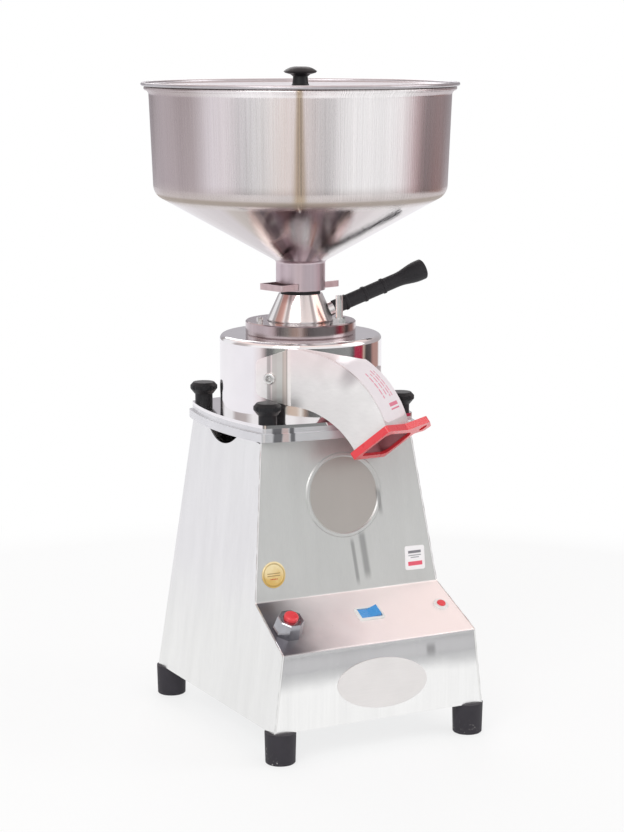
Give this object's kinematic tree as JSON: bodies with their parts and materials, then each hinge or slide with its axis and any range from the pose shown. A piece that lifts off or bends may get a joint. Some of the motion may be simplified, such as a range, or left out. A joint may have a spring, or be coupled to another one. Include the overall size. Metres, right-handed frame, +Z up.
{
  "type": "table-top flour mill",
  "caption": "Domestic flour mill: tapering sheet casing with a console, motor, stone chamber with curved outlet chute, adjusting lever, and a lidded hopper with a gate",
  "frame": {"origin": "on the surface the four feet stand on, under the middle of the mill's box, 8.6 mm in front of the spindle's axis", "axes": "+Z up along the spindle's axis, the console and upper front face -Y, +X to the right seen from the front"},
  "size_m": [0.3096, 0.3268, 0.6402],
  "materials": {
    "polished_steel": "polished stainless sheet",
    "chromed_metal": "bright chrome over turned metal",
    "stainless": "satin stainless sheet",
    "cast_aluminium": "sand cast, turned faces",
    "zinc_sheet": "zinc plated sheet",
    "zinc_steel": "bright zinc",
    "steel": "ground steel",
    "laminations": "varnished laminations",
    "copper": "varnished copper wire",
    "emery": "coarse emery stone",
    "black_rubber": "moulded rubber",
    "black_plastic": "moulded phenolic",
    "red_plastic": "moulded plastic",
    "blue_plastic": "moulded plastic",
    "white_plastic": "moulded plastic"
  },
  "bodies": {
    "casing": {"front_panel": "polished_steel", "left_side_panel": "polished_steel", "right_side_panel": "polished_steel", "rear_panel": "polished_steel", "base_plate": "zinc_sheet", "rubber_feet": "black_rubber", "foot_screws": "zinc_steel", "motor_plate": "chromed_metal", "clamp_studs": "zinc_steel", "grinding_chamber": "chromed_metal", "threaded_ring": "chromed_metal", "ring_screws": "zinc_steel", "stop_stud": "zinc_steel", "guide_pins": "zinc_steel", "outlet_chute": "chromed_metal", "chute_screws": "zinc_steel", "mouth_collar": "red_plastic", "breaker_bezel": "chromed_metal", "breaker_body": "black_plastic", "switch_frame": "white_plastic", "switch_body": "black_plastic", "lamp_bezel": "white_plastic", "lamp_lens": "red_plastic", "upper_end_bell": "cast_aluminium", "lower_end_bell": "cast_aluminium", "upper_bearing": "steel", "lower_bearing": "steel", "stator_core": "laminations", "stator_windings": "copper", "shaft_seal": "black_rubber", "motor_bolts": "zinc_steel", "run_capacitor": "black_plastic", "capacitor_clip": "zinc_sheet", "cord_gland": "black_plastic", "gland_nut": "zinc_steel"},
    "rotor": {"spindle": "steel", "rotor_core": "laminations", "cooling_fan": "black_plastic", "sweeper_plate": "cast_aluminium", "lower_stone": "emery", "feed_screw": "steel"},
    "stone_set": {"upper_stone": "emery", "stone_carrier": "cast_aluminium", "carrier_snap_ring": "zinc_steel"},
    "adjuster": {"feed_cone": "cast_aluminium", "lever_rod": "zinc_steel", "lever_grip": "black_rubber", "cone_gasket": "black_rubber"},
    "hopper_set": {"hopper": "stainless", "hopper_neck": "stainless"},
    "gate_set": {"feed_gate": "stainless"},
    "lid_set": {"lid": "stainless", "lid_knob": "black_plastic", "lid_knob_screw": "zinc_steel"},
    "knob_front_left": {"clamp_knob_front_left": "black_plastic"},
    "knob_rear_left": {"clamp_knob_rear_left": "black_plastic"},
    "knob_front_right": {"clamp_knob_front_right": "black_plastic"},
    "knob_rear_right": {"clamp_knob_rear_right": "black_plastic"},
    "reset_button_set": {"reset_button": "red_plastic"},
    "rocker_set": {"switch_rocker": "blue_plastic"}
  },
  "joints": [
    {"name": "spindle_spin", "type": "hinge", "parent": "casing", "child": "rotor", "pos_m": [0, 0.0086, 0.3], "axis": [0, 0, 1], "continuous": true},
    {"name": "stone_rise", "type": "slide", "parent": "casing", "child": "stone_set", "axis": [0, 0, 1], "range_m": [-0.0003, 0.0008]},
    {"name": "lever_turn", "type": "hinge", "parent": "stone_set", "child": "adjuster", "pos_m": [0, 0.0086, 0.4], "axis": [0, 0, 1], "range_deg": [-40, 110]},
    {"name": "hopper_lift", "type": "slide", "parent": "adjuster", "child": "hopper_set", "axis": [0, 0, 1], "range_m": [0, 0.25]},
    {"name": "gate_slide", "type": "slide", "parent": "hopper_set", "child": "gate_set", "axis": [-0.9659, -0.2588, 0], "range_m": [0, 0.052]},
    {"name": "lid_lift", "type": "slide", "parent": "hopper_set", "child": "lid_set", "axis": [0, 0, 1], "range_m": [0, 0.15]},
    {"name": "knob_front_left_turn", "type": "hinge", "parent": "casing", "child": "knob_front_left", "pos_m": [-0.0725, -0.0639, 0.31], "axis": [0, 0, 1], "continuous": true},
    {"name": "knob_rear_left_turn", "type": "hinge", "parent": "casing", "child": "knob_rear_left", "pos_m": [-0.0725, 0.0811, 0.31], "axis": [0, 0, 1], "continuous": true},
    {"name": "knob_front_right_turn", "type": "hinge", "parent": "casing", "child": "knob_front_right", "pos_m": [0.0725, -0.0639, 0.31], "axis": [0, 0, 1], "continuous": true},
    {"name": "knob_rear_right_turn", "type": "hinge", "parent": "casing", "child": "knob_rear_right", "pos_m": [0.0725, 0.0811, 0.31], "axis": [0, 0, 1], "continuous": true},
    {"name": "reset_press", "type": "slide", "parent": "casing", "child": "reset_button_set", "axis": [0, 0.458, -0.889], "range_m": [0, 0.003], "stiffness_N_per_m": 400, "springref_m": -0.002},
    {"name": "rocker_tip", "type": "hinge", "parent": "casing", "child": "rocker_set", "pos_m": [0.007, -0.12082, 0.1216], "axis": [0, 0.889, 0.458], "range_deg": [0, 24]}
  ],
  "couplings": [
    {"joint": "stone_rise", "follows": "lever_turn", "m_per_rad": 0.00039789}
  ]
}
